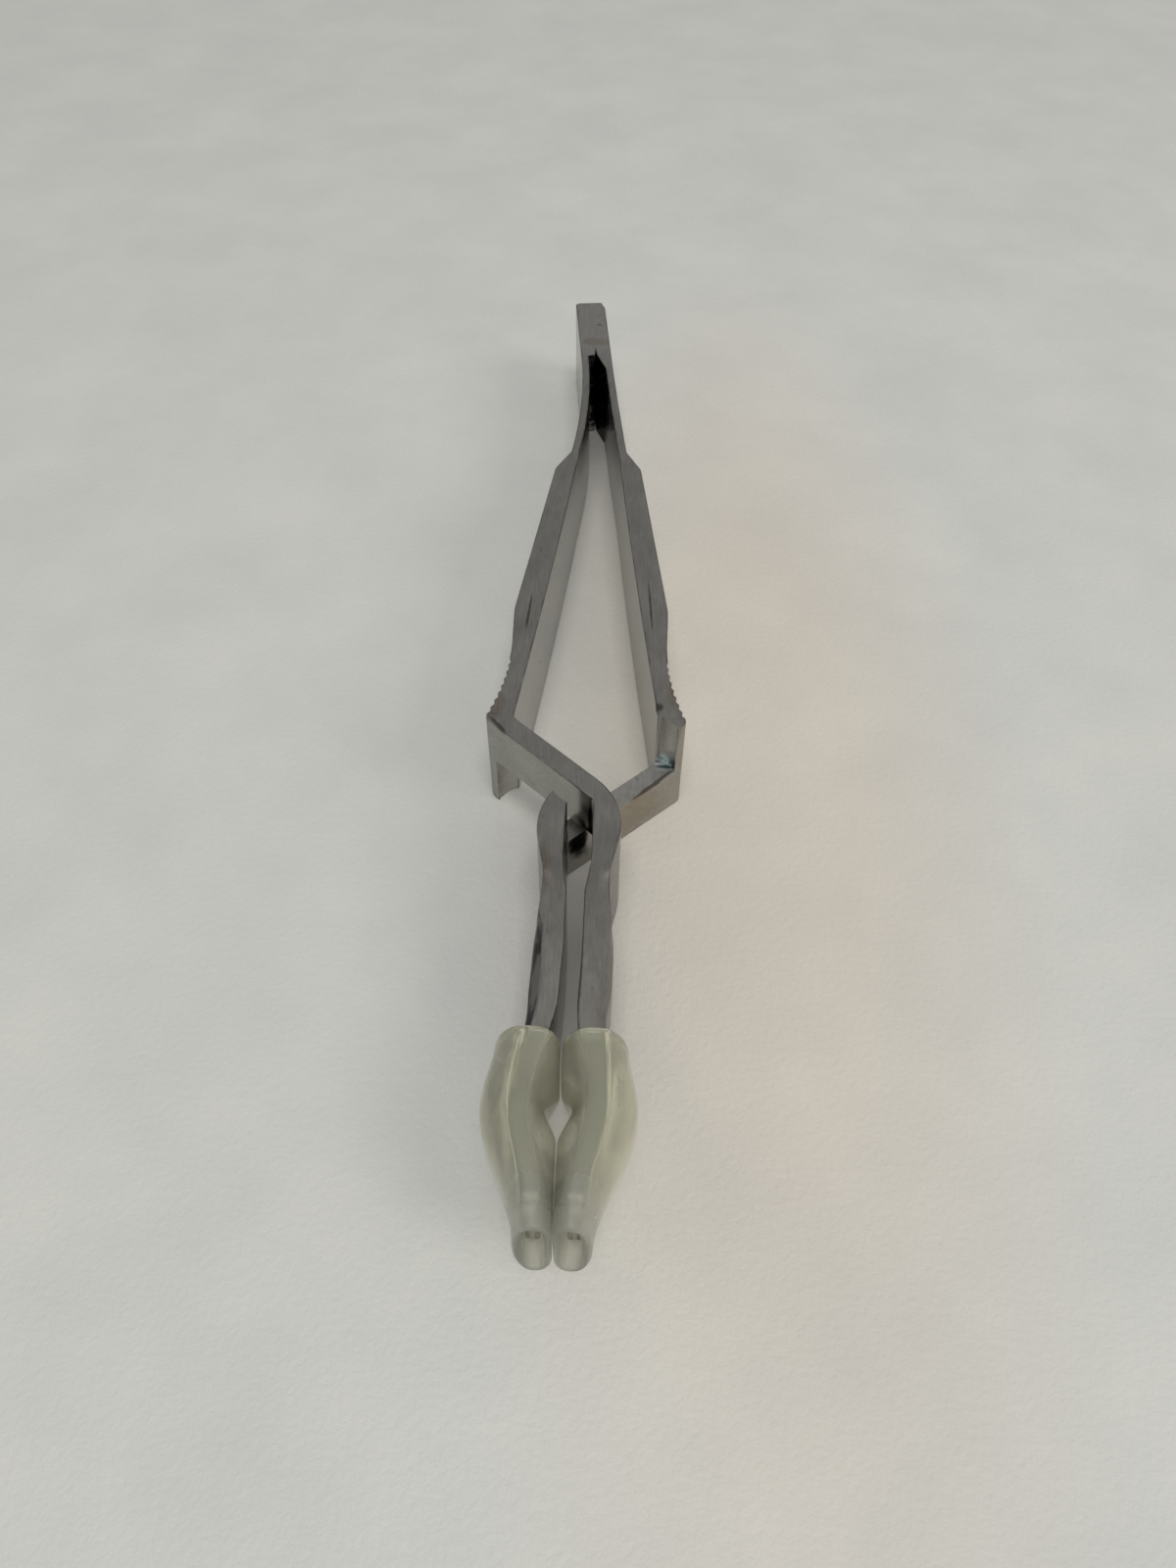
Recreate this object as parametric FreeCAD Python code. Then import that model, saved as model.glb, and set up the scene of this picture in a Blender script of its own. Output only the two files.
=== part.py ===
# Small self-closing forceps with crossed spring arms and soft jaw sleeves, in millimetres.
# It lies on the side edge of its two steel strips, with the tail towards +Y, the jaws
# towards -Y and +Z up. Each strip is one piece of steel: half of the tail pad, a thin leaf
# spring, a thick finger grip, a knee, a slanted strap and a jaw. The left strip is the right
# one turned half over about the long axis, so that each strap is halved where they cross.
# The two strips are brazed into one at the tail. They flex in their leaves, so the leaves
# are parted there by a kerf, and the solids turn about its middle.
# While it is drawn, X = 0 is between the jaws, Y = 0 is where the straps cross, and Z = 0
# is half-way up the strip. The right strip has its knee at +X and its jaw at -X.
import FreeCAD, Part
import math
import os

Vector = FreeCAD.Vector

# Steel strip
strip_height = 5.75
pad_thickness = 1.0
pad_length = 6.81
leaf_thickness = 0.48
leaf_length = 10.95
leaf_radius = 91.0
crotch_y = 36.85

# Set of the tail: both leaves are bent a little to the left
tail_lean = 5.3
end_bevel_across = 0.2
end_bevel_along = 0.7
end_corner_radius = 0.15
crotch_taper = 1.6
crotch_radius = 0.15
crack_length = 1.0
crack_width = 0.12

# Hinge line of each leaf
hinge_y = 31.66
kerf = 0.04

# Finger grip, with its thickness measured along X
shoulder_length = 1.74
shoulder_thickness = 1.2
bump_y = 11.66
bump_thickness = 1.44
waist_y = 8.96
waist_thickness = 1.06
arm_bow = 0.1
shoulder_radius = 0.9
bump_radius = 3.0

# Knee and strap
knee_reach = 4.92
knee_inner_reach = 3.5
knee_outer_radius = 0.45
knee_inner_radius = 0.3
strap_angle = 42.15
strap_thickness = 1.02

# Grip serrations, grooves across the hollow beside each knee
serration_count = 8
serration_pitch = 0.5
serration_depth = 0.11
serration_start_y = 4.25

# Half-lap crossing, cut with a round cutter along the strap
lap_gap = 0.4
cutter_radius = 1.5
cutter_travel = 4.1
cutter_corner_radius = 0.25

# Jaw arm, from the strap to the sleeve
crossing_half_gap = 0.62
crossing_end_y = -4.6
jaw_half_gap = 0.39
jaw_step_y = -6.1
jaw_arm_thickness = 1.06
jaw_arm_top_y = -5.1
jaw_lean = 11.5
bend_outer_radius = 3.6
bend_inner_radius = 0.4
jaw_arm_radius = 3.0

# Set of the jaws: they meet on a line a little to the left of the middle plane
jaw_arm_set = 0.08
jaw_set = 0.37
jaw_set_start_y = -8.0
jaw_set_end_y = -16.0

# Jaw arm swells on its outside, then thins down into the jaw
swell_start_y = -5.6
swell_y = -9.0
swell_thickness = 1.32
thinning_y = -10.0

# Jaw, bowed in plan: half the distance between the jaws' middle lines
jaw_root_y = -11.0
bow_y = -15.2
bow_half_distance = 1.55
bow_thickness = 0.81
tip_y = -19.45
tip_half_distance = 0.81
tip_thickness = 0.55
tip_corner_radius = 0.12

# Jaw seen from the side
taper_start_y = -5.0
sleeve_rim_y = -12.6
jaw_rim_height = 4.4
jaw_tip_height = 3.6
jaw_nose_radius = 0.6

# Ground bevels on the outer edges of each jaw arm, with their share of the width at stations
bevel_width = 0.62
bevel_depth = 0.9
small_bevel_width = 0.25
bevel_course = ((-7.2, 0.3), (-8.5, 0.8), (-10.0, 1.0), (-11.4, 0.85), (-12.6, 0.55), (-15.0, 0.4))

# Soft sleeve, an oval tube open at both ends, pressed flat where it meets its neighbour
closed_gap = 0.06
sleeve_press = 0.15
sleeve_end_y = -20.35
sleeve_widest_y = -15.1
sleeve_rim_reach = 2.75
sleeve_widest_reach = 3.13
sleeve_end_reach = 1.5
sleeve_hollow = 0.57
sleeve_hollow_half_length = 1.7
sleeve_rim_height = 5.7
sleeve_end_height = 4.6
sleeve_top_wall = 0.36
sleeve_end_wall = 0.38
sleeve_rim_roundness = 0.8
sleeve_end_roundness = 0.6
bore_rim_clearance = 0.22
bore_end_clearance = 0.12
bore_end_shift = 0.12
sleeve_edge_radius = 0.12

# Values worked out from the sizes above
half_height = strip_height / 2
leaf_end_y = crotch_y - leaf_length
shoulder_y = leaf_end_y - shoulder_length
strap_slope = math.tan(math.radians(strap_angle))
strap_offset = strap_thickness / 2 / math.cos(math.radians(strap_angle))
knee_outer_y = knee_reach * strap_slope - strap_offset
knee_inner_y = knee_inner_reach * strap_slope + strap_offset
lean_radius = leaf_length / math.tan(math.radians(tail_lean))
jaw_outer_reach = jaw_half_gap + jaw_arm_thickness
bow_out = bow_half_distance - jaw_half_gap - bow_thickness / 2
sleeve_length = sleeve_rim_y - sleeve_end_y
far = 2 * knee_reach


def ease(share):
    """Smooth step from 0 to 1 with level ends."""
    return (1 - math.cos(math.pi * min(max(share, 0), 1))) / 2


def leaf_inner_x(y):
    """Distance of a leaf's inner face from the middle plane, before the tail is set over."""
    drop = crotch_y - y
    return pad_thickness - leaf_thickness + leaf_radius - math.sqrt(leaf_radius**2 - drop**2)


def arm_inner_x(y):
    """Distance of the grip's inner face from the middle plane, a chord with a slight bow."""
    share = (y - knee_inner_y) / (leaf_end_y - knee_inner_y)
    chord = knee_inner_reach + (leaf_inner_x(leaf_end_y) - knee_inner_reach) * share
    return chord - arm_bow * 4 * share * (1 - share)


def set_over(x, y, lean):
    """Point of the tail after its leaves are bent: a circular sweep, then a tilted pad."""
    along = min(max(y - leaf_end_y, 0), leaf_length)
    sideways = lean * along**2 / (2 * lean_radius)
    tilt = math.radians(tail_lean) * lean if y > crotch_y else 0
    rise = y - crotch_y
    if y > crotch_y:
        return Vector(x * math.cos(tilt) + rise * math.sin(tilt) + sideways,
                      crotch_y + rise * math.cos(tilt) - x * math.sin(tilt), 0)
    return Vector(x + sideways, y, 0)


def line(start, end):
    """Straight edge between two points."""
    return Part.LineSegment(start, end).toShape()


def arc(start, middle, end):
    """Round edge through three points."""
    return Part.Arc(start, middle, end).toShape()


def curve(points):
    """Smooth edge through points."""
    spline = Part.BSplineCurve()
    spline.interpolate(points)
    return spline.toShape()


def prism(edges, bottom, top):
    """Upright solid over a closed outline of edges."""
    wire = Part.Wire(Part.__sortEdges__(edges))
    face = Part.Face(wire)
    face.translate(Vector(0, 0, bottom))
    return face.extrude(Vector(0, 0, top - bottom))


def jaw_half_distance(y):
    """Half the distance between the two jaws' middle lines: out to the bow, in to the tip."""
    if y > bow_y:
        share = ease((jaw_root_y - y) / (jaw_root_y - bow_y))
        return jaw_half_gap + jaw_thickness(y) / 2 + bow_out * share
    share = ease((bow_y - y) / (bow_y - tip_y))
    return bow_half_distance + (tip_half_distance - bow_half_distance) * share


def jaw_thickness(y):
    """Thickness along X: swollen at the arm, eased down to the bow, thinner by a square law."""
    if y > bow_y:
        swell = ease((swell_start_y - y) / (swell_start_y - swell_y))
        thinning = ease((thinning_y - y) / (thinning_y - bow_y))
        return (jaw_arm_thickness + (swell_thickness - jaw_arm_thickness) * swell
                + (bow_thickness - swell_thickness) * thinning)
    share = (bow_y - y) / (bow_y - tip_y)
    return bow_thickness + (tip_thickness - bow_thickness) * share**2


def jaw_plane_x(y, lean):
    """Place of the plane between the jaws, set over a little at the arm and more at the jaw."""
    share = ease((jaw_set_start_y - y) / (jaw_set_start_y - jaw_set_end_y))
    return lean * (jaw_arm_set + (jaw_set - jaw_arm_set) * share)


def jaw_side(side, lean):
    """Points along one face of the right strip's jaw: side 1 is its outer face."""
    steps = 16
    ys = [jaw_step_y + (tip_y - jaw_step_y) * i / steps for i in range(steps + 1)]
    return [Vector(jaw_plane_x(y, lean) - jaw_half_distance(y) - side * jaw_thickness(y) / 2,
                   y, 0) for y in ys]


def bend_corner(lean):
    """Sharp corner where the strap's outer face would meet the leaning jaw arm."""
    tilt = math.tan(math.radians(jaw_lean))
    reach = jaw_outer_reach - jaw_plane_x(jaw_arm_top_y, lean)
    y = (strap_offset - strap_slope * (reach - tilt * jaw_arm_top_y)) / (1 + strap_slope * tilt)
    return Vector(-(strap_offset - y) / strap_slope, y, 0)


def crossing_corner(lean):
    """Sharp corner where the strap's jaw-side face meets the inner face of the jaw arm."""
    x = jaw_plane_x(0, lean) - crossing_half_gap
    return Vector(x, x * strap_slope - strap_offset, 0)


def strip_outline(lean, bevelled):
    """Closed outline of the right strip, from the tail along the outside and back."""
    pad_end = crotch_y + pad_length
    end_seam = set_over(0, pad_end, lean)
    end_outer = set_over(pad_thickness, pad_end, lean)
    pad_outer = set_over(pad_thickness, crotch_y, lean)
    leaf_middle_y = (crotch_y + leaf_end_y) / 2
    leaf_outer = [set_over(leaf_inner_x(y) + leaf_thickness, y, lean)
                  for y in (crotch_y, leaf_middle_y, leaf_end_y)]
    shoulder = Vector(arm_inner_x(shoulder_y) + shoulder_thickness, shoulder_y, 0)
    bump = Vector(arm_inner_x(bump_y) + bump_thickness, bump_y, 0)
    waist = Vector(arm_inner_x(waist_y) + waist_thickness, waist_y, 0)
    knee = Vector(knee_reach, knee_outer_y, 0)
    inner_corner = crossing_corner(lean)
    crossing_end = Vector(inner_corner.x, crossing_end_y, 0)
    inner_side = jaw_side(-1, lean)
    outer_side = jaw_side(1, lean)
    jaw_top = Vector(jaw_plane_x(jaw_arm_top_y, lean) - jaw_outer_reach, jaw_arm_top_y, 0)
    inner_knee = Vector(knee_inner_reach, knee_inner_y, 0)
    arm_middle_y = (knee_inner_y + leaf_end_y) / 2
    arm_middle = Vector(arm_inner_x(arm_middle_y), arm_middle_y, 0)
    taper = crotch_taper if bevelled else 0
    taper_y = crotch_y - taper
    leaf_inner = [set_over(leaf_inner_x(y), y, lean)
                  for y in (leaf_end_y, (leaf_end_y + taper_y) / 2, taper_y)]
    crotch_seam = set_over(0, crotch_y, lean)
    edges = []
    if bevelled:
        bevel_a = set_over(pad_thickness - end_bevel_across, pad_end, lean)
        bevel_b = set_over(pad_thickness, pad_end - end_bevel_along, lean)
        edges += [line(end_seam, bevel_a), line(bevel_a, bevel_b), line(bevel_b, pad_outer)]
    else:
        edges += [line(end_seam, end_outer), line(end_outer, pad_outer)]
    edges += [
        arc(*leaf_outer), line(leaf_outer[-1], shoulder), line(shoulder, bump),
        line(bump, waist), hollow_edge(waist, knee), line(knee, inner_corner),
        line(inner_corner, crossing_end), line(crossing_end, inner_side[0]),
        curve(inner_side), line(inner_side[-1], outer_side[-1]), curve(outer_side),
        line(outer_side[0], jaw_top), line(jaw_top, bend_corner(lean)),
        line(bend_corner(lean), inner_knee), arc(inner_knee, arm_middle, leaf_inner[0]),
        arc(*leaf_inner), line(leaf_inner[-1], crotch_seam), line(crotch_seam, end_seam)]
    return edges


def hollow_radius(waist, knee):
    """Radius of the hollow beside the knee, level with the strip's length at the waist."""
    rise = knee.x - waist.x
    drop = waist.y - knee.y
    return (drop**2 + rise**2) / (2 * rise)


def hollow_edge(waist, knee):
    """Round hollow for the finger, from the waist down to the knee."""
    radius = hollow_radius(waist, knee)
    middle_y = (waist.y + knee.y) / 2
    middle_x = waist.x + radius - math.sqrt(radius**2 - (waist.y - middle_y)**2)
    return arc(waist, Vector(middle_x, middle_y, 0), knee)


def upright_edge(solid, place):
    """Edge of a prism that stands nearest to a place in plan."""
    def distance(edge):
        ends = [vertex.Point for vertex in edge.Vertexes]
        if len(ends) < 2 or abs(ends[0].z - ends[1].z) < half_height:
            return far
        return math.hypot(ends[0].x - place.x, ends[0].y - place.y)
    return min(solid.Edges, key=distance)


def rounded(solid, corners):
    """Prism with its upright edges rounded at the given places."""
    for place, radius in corners:
        solid = solid.makeFillet(radius, [upright_edge(solid, place)])
    return solid


def strip_blank(lean, bevelled):
    """Full-height strip with its corners rounded, before the lap and the tapers are cut."""
    blank = prism(strip_outline(lean, bevelled), -half_height, half_height)
    leaf_outer_end = leaf_inner_x(leaf_end_y) + leaf_thickness
    corners = [
        (Vector(leaf_outer_end, leaf_end_y, 0), shoulder_radius),
        (Vector(arm_inner_x(shoulder_y) + shoulder_thickness, shoulder_y, 0), shoulder_radius),
        (Vector(arm_inner_x(bump_y) + bump_thickness, bump_y, 0), bump_radius),
        (Vector(knee_reach, knee_outer_y, 0), knee_outer_radius),
        (Vector(knee_inner_reach, knee_inner_y, 0), knee_inner_radius),
        (bend_corner(lean), bend_outer_radius),
        (Vector(jaw_plane_x(jaw_arm_top_y, lean) - jaw_outer_reach, jaw_arm_top_y, 0),
         jaw_arm_radius),
        (crossing_corner(lean), bend_inner_radius),
        (jaw_side(-1, lean)[-1], tip_corner_radius),
        (jaw_side(1, lean)[-1], tip_corner_radius)]
    if not bevelled:
        corners += [
            (set_over(pad_thickness, crotch_y + pad_length, lean), end_corner_radius),
            (set_over(leaf_inner_x(crotch_y), crotch_y, lean), crotch_radius)]
    return rounded(blank, corners)


def serrations():
    """Grooves across the finger hollow, cut square to its face in even steps."""
    waist = Vector(arm_inner_x(waist_y) + waist_thickness, waist_y, 0)
    knee = Vector(knee_reach, knee_outer_y, 0)
    radius = hollow_radius(waist, knee)
    centre = Vector(waist.x + radius, waist.y, 0)
    grooves = []
    for i in range(serration_count):
        angle = math.asin((waist_y - serration_start_y) / radius) - i * serration_pitch / radius
        out = Vector(math.cos(angle), math.sin(angle), 0)
        along = Vector(-out.y, out.x, 0)
        face_point = centre - out * radius
        root = face_point - out * serration_depth
        corners = [root, face_point + out * serration_depth + along * serration_pitch,
                   face_point + out * serration_depth - along * serration_pitch]
        ring = [line(corners[j], corners[(j + 1) % 3]) for j in range(3)]
        grooves.append(prism(ring, -strip_height, strip_height))
    return grooves


def lap_cutter():
    """Round-ended slot above the lap floor, from the crossing along the strap to the knee."""
    angle = math.radians(strap_angle)
    along = Vector(math.cos(angle), math.sin(angle), 0)
    across = Vector(-along.y, along.x, 0) * cutter_radius
    end = along * cutter_travel
    edges = [line(across, end + across),
             arc(end + across, end + along * cutter_radius, end - across),
             line(end - across, Vector() - across),
             arc(Vector() - across, along * -cutter_radius, across)]
    slot = prism(edges, -lap_gap / 2, strip_height)
    floor_edges = [edge for edge in slot.Edges if edge.BoundBox.ZMax < 0]
    return slot.makeFillet(cutter_corner_radius, floor_edges)


def side_profile():
    """Side view of the strip, pushed through it: full height, then tapered to a round nose."""
    beyond = crotch_y + 2 * pad_length
    upper = [(taper_start_y, half_height), (sleeve_rim_y, jaw_rim_height / 2),
             (tip_y, jaw_tip_height / 2)]
    ring = [(beyond, half_height)] + upper + [(y, -z) for y, z in reversed(upper)]
    ring.append((beyond, -half_height))
    points = [Vector(-far, y, z) for y, z in ring]
    face = Part.Face(Part.makePolygon(points + points[:1]))
    slab = face.extrude(Vector(2 * far, 0, 0))
    nose = [edge for edge in slab.Edges
            if edge.BoundBox.XLength > far and edge.BoundBox.YMax < tip_y + kerf]
    return slab.makeFillet(jaw_nose_radius, nose)


def edge_bevel(width, side, lean):
    """Wedge that takes the jaw arm's outer edge off, along the bevel's course."""
    sections = []
    for y, share in bevel_course:
        face_x = jaw_plane_x(y, lean) - jaw_half_distance(y) - jaw_thickness(y) / 2
        edge_z = side * side_height(y)
        points = [Vector(face_x + width * share, y, edge_z + side * bevel_depth),
                  Vector(face_x + width * share, y, edge_z),
                  Vector(face_x, y, edge_z - side * bevel_depth * share),
                  Vector(face_x - width, y, edge_z - side * bevel_depth * share),
                  Vector(face_x - width, y, edge_z + side * bevel_depth)]
        sections.append(Part.makePolygon(points + points[:1]))
    return Part.makeLoft(sections, True, True)


def side_height(y):
    """Half-height of the strip at a place along its taper."""
    if y > sleeve_rim_y:
        share = (taper_start_y - y) / (taper_start_y - sleeve_rim_y)
        return half_height + (jaw_rim_height / 2 - half_height) * max(share, 0)
    share = (sleeve_rim_y - y) / (sleeve_rim_y - tip_y)
    return jaw_rim_height / 2 + (jaw_tip_height - jaw_rim_height) / 2 * share


def strip(lean, bevelled):
    """One whole steel strip, drawn as the right one: its upper half is cut at the lap."""
    blank = strip_blank(lean, bevelled)
    blank = blank.common(side_profile())
    blank = blank.cut([lap_cutter()] + serrations())
    return blank.cut([edge_bevel(bevel_width, 1, lean), edge_bevel(small_bevel_width, -1, lean)])


def half_turn(shape):
    """Copy of a shape turned half over about the long axis."""
    turned = shape.copy()
    turned.rotate(Vector(), Vector(0, 1, 0), 180)
    return turned


def slab(low_y, high_y):
    """Wide block between two stations along the length."""
    return Part.makeBox(4 * far, high_y - low_y, 4 * strip_height,
                        Vector(-2 * far, low_y, -2 * strip_height))


def seam_crack(lean):
    """Thin wedge that opens the brazed seam at the crotch."""
    foot = set_over(0, crotch_y, lean)
    tip = set_over(0, crotch_y + crack_length, lean)
    side = Vector(crack_width / 2, 0, 0)
    below = Vector(0, crack_width, 0)
    corners = [foot - side - below, tip, foot + side - below]
    ring = [line(corners[i], corners[(i + 1) % 3]) for i in range(3)]
    return prism(ring, -strip_height, strip_height)


def tail_piece(right_strip, left_strip):
    """Brazed tail: both pads and the upper part of both leaves."""
    above = slab(hinge_y + kerf / 2, crotch_y + 2 * pad_length)
    joined = right_strip.common(above).fuse(left_strip.common(above)).removeSplitter()
    return joined.cut(seam_crack(-1))


def oval_ring(centre_x, half_width, half_tall, roundness, y):
    """Oval across the length: two round ends joined by two flatter sides, all tangent."""
    end_radius = roundness * half_width
    end_centre = half_tall - end_radius
    side_radius = (half_width**2 + end_centre**2 - end_radius**2) / (
        2 * (half_width - end_radius))
    share = end_radius / (side_radius - end_radius)
    joint_x = share * (side_radius - half_width)
    joint_z = end_centre * (1 + share)

    def place(x, z):
        return Vector(centre_x + x, y, z)

    return Part.Wire([
        arc(place(joint_x, joint_z), place(0, half_tall), place(-joint_x, joint_z)),
        arc(place(-joint_x, joint_z), place(-half_width, 0), place(-joint_x, -joint_z)),
        arc(place(-joint_x, -joint_z), place(0, -half_tall), place(joint_x, -joint_z)),
        arc(place(joint_x, -joint_z), place(half_width, 0), place(joint_x, joint_z))])


def bore_ring(centre_x, half_width, half_tall, y):
    """Slot across the length: two straight sides joined by half circles."""
    straight = half_tall - half_width

    def place(x, z):
        return Vector(centre_x + x, y, z)

    return Part.Wire([
        arc(place(half_width, straight), place(0, half_tall), place(-half_width, straight)),
        line(place(-half_width, straight), place(-half_width, -straight)),
        arc(place(-half_width, -straight), place(0, -half_tall), place(half_width, -straight)),
        line(place(half_width, -straight), place(half_width, straight))])


def sleeve_sides(y):
    """Inner and outer reach of the sleeve from the jaws' plane at a station."""
    if y > sleeve_widest_y:
        share = ease((sleeve_rim_y - y) / (sleeve_rim_y - sleeve_widest_y))
        outer = sleeve_rim_reach + (sleeve_widest_reach - sleeve_rim_reach) * share
    else:
        share = ease((sleeve_widest_y - y) / (sleeve_widest_y - sleeve_end_y))
        outer = sleeve_widest_reach + (sleeve_end_reach - sleeve_widest_reach) * share
    hollow = sleeve_hollow * (1 - ease(abs(y - bow_y) / sleeve_hollow_half_length))
    return closed_gap / 2 - sleeve_press + hollow, outer


def sleeve_stations():
    """Places of the sections along the sleeve, close together at its two rounded rims."""
    steps = 10
    rim = [0, 0.1 * sleeve_edge_radius, 0.4 * sleeve_edge_radius, sleeve_edge_radius]
    even = [sleeve_length * i / steps for i in range(1, steps)]
    return rim + even + [sleeve_length - along for along in reversed(rim)]


def rim_inset(along):
    """How far the sleeve's outside is rounded in at a place along it."""
    short = max(sleeve_edge_radius - min(along, sleeve_length - along), 0)
    return sleeve_edge_radius - math.sqrt(sleeve_edge_radius**2 - short**2)


def sleeve(lean):
    """Oval tube over the right strip's jaw, with a bore that follows the jaw inside it."""
    outside, inside = [], []
    plane = jaw_set * lean
    for along in sleeve_stations():
        share = along / sleeve_length
        y = sleeve_rim_y - along
        jaw_y = max(y, tip_y)
        near, out = sleeve_sides(y)
        roundness = sleeve_rim_roundness + (sleeve_end_roundness - sleeve_rim_roundness) * share
        tall = (sleeve_rim_height + (sleeve_end_height - sleeve_rim_height) * share) / 2
        wall = sleeve_top_wall + (sleeve_end_wall - sleeve_top_wall) * share
        room = bore_rim_clearance + (bore_end_clearance - bore_rim_clearance) * share
        bore_half_width = jaw_thickness(jaw_y) / 2 + room
        bore_shift = bore_end_shift * ease((jaw_y - y) / (tip_y - sleeve_end_y))
        inset = rim_inset(along)
        outside.append(oval_ring(plane - (near + out) / 2, (out - near) / 2 - inset,
                                 tall - inset, roundness, y))
        inside.append(bore_ring(jaw_plane_x(y, lean) - jaw_half_distance(jaw_y) + bore_shift,
                                bore_half_width, tall - wall, y))
    neighbour = slab(2 * sleeve_end_y, 0)
    neighbour.translate(Vector(2 * far + plane - closed_gap / 2, 0, 0))
    return Part.makeLoft(outside, True, True).cut([Part.makeLoft(inside, True, True), neighbour])


def build():
    """All solids at rest, moved so that the origin is at the bottom centre of their box."""
    right_strip = strip(-1, True)
    left_strip = half_turn(strip(1, False))
    below = slab(2 * sleeve_end_y, hinge_y - kerf / 2)
    nodes = {
        "brazed_tail": tail_piece(right_strip, left_strip),
        "right_arm": right_strip.common(below),
        "left_arm": left_strip.common(below),
        "left_jaw_sleeve": sleeve(-1),
        "right_jaw_sleeve": half_turn(sleeve(1))}
    box = Part.makeCompound(list(nodes.values())).optimalBoundingBox(False, False)
    shift = Vector(-(box.XMin + box.XMax) / 2, -(box.YMin + box.YMax) / 2, -box.ZMin)
    for shape in nodes.values():
        shape.translate(shift)
    report(shift, nodes)
    return nodes


def report(shift, nodes):
    """Print the hinge lines and each solid's state in the finished frame."""
    middle = leaf_inner_x(hinge_y) + leaf_thickness / 2
    for name, side in (("right", 1), ("left", -1)):
        place = set_over(side * middle, hinge_y, -1) + shift
        print(name, "hinge line at x", round(place.x, 4), "y", round(place.y, 4))
    print("crossing at y", round(shift.y, 4), "half-way height", round(shift.z, 4))
    for name, shape in nodes.items():
        print(name, "solids", len(shape.Solids), "valid", shape.isValid(),
              "volume", round(shape.Volume, 3))


os.makedirs("parts", exist_ok=True)
for node_name, node_shape in build().items():
    node_shape.exportStep("parts/" + node_name + ".step")
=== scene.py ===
# %% [markdown]
# # Small self-closing forceps with soft jaw sleeves
# Two equal strips of spring steel are brazed together at the tail. Each strip runs down
# through a thin leaf spring, a thick finger grip and a sharp knee, slants across to the
# other side, and ends in a bowed jaw inside a soft oval sleeve. Squeezing the grips opens
# the jaws, and the leaves close them again. The forceps lies on the edges of its strips.
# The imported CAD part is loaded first. Its size and its bodies are fixed, and all that
# follows is built around them.

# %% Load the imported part
import math

import bmesh
import bpy
import numpy as np
from mathutils import Matrix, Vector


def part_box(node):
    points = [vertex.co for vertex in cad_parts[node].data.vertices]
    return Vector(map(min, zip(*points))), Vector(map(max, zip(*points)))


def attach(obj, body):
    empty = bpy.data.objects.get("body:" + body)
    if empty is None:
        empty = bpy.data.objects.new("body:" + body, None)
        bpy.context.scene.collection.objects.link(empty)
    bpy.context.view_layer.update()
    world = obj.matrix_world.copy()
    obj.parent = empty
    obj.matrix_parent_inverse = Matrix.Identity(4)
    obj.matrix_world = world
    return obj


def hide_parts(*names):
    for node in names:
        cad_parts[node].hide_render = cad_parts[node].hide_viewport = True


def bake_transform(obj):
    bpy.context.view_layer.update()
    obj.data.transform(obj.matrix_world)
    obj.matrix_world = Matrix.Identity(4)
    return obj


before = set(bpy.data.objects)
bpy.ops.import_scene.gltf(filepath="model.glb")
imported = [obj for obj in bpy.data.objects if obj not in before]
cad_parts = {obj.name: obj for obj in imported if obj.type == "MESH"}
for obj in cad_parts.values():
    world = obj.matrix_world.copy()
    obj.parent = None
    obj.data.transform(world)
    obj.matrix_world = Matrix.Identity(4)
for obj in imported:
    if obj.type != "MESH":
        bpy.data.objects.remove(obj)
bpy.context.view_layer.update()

# %% [markdown]
# ## Sizes
# The steel is drawn as a toolmaker would draw it, in millimetres, with X = 0 between the
# jaws, Y = 0 where the straps cross and Z = 0 half-way up the strip. The strip's height and
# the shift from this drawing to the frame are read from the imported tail, so the pieces land
# where the CAD says. The other sizes are the driving dimensions of the real strip.

# %% Driving dimensions of the steel strip
MM = 0.001
hinge_y = 31.66
kerf = 0.04
tail_low, tail_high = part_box("brazed_tail")
strip_height = (tail_high.z - tail_low.z) / MM
half_height = strip_height / 2
shift_y = tail_low.y / MM - hinge_y - kerf / 2

pad_thickness, pad_length = 1.0, 6.81
leaf_thickness, leaf_length, leaf_radius = 0.48, 10.95, 91.0
crotch_y = 36.85
tail_lean = math.radians(5.3)
shoulder_length, shoulder_thickness, shoulder_radius = 1.74, 1.2, 0.9
bump_y, bump_thickness, bump_radius = 11.66, 1.44, 3.0
waist_y, waist_thickness = 8.96, 1.06
arm_bow = 0.1
knee_reach, knee_inner_reach = 4.92, 3.5
knee_outer_radius, knee_inner_radius = 0.45, 0.3
strap_angle = math.radians(42.15)
strap_thickness = 1.02
edge_break = 0.07

leaf_end_y = crotch_y - leaf_length
shoulder_y = leaf_end_y - shoulder_length
strap_slope = math.tan(strap_angle)
strap_offset = strap_thickness / 2 / math.cos(strap_angle)
knee_outer_y = knee_reach * strap_slope - strap_offset
knee_inner_y = knee_inner_reach * strap_slope + strap_offset
lean_radius = leaf_length / math.tan(tail_lean)
print("strip height", round(strip_height, 3), "mm, drawing shifted by", round(shift_y, 3))

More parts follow.
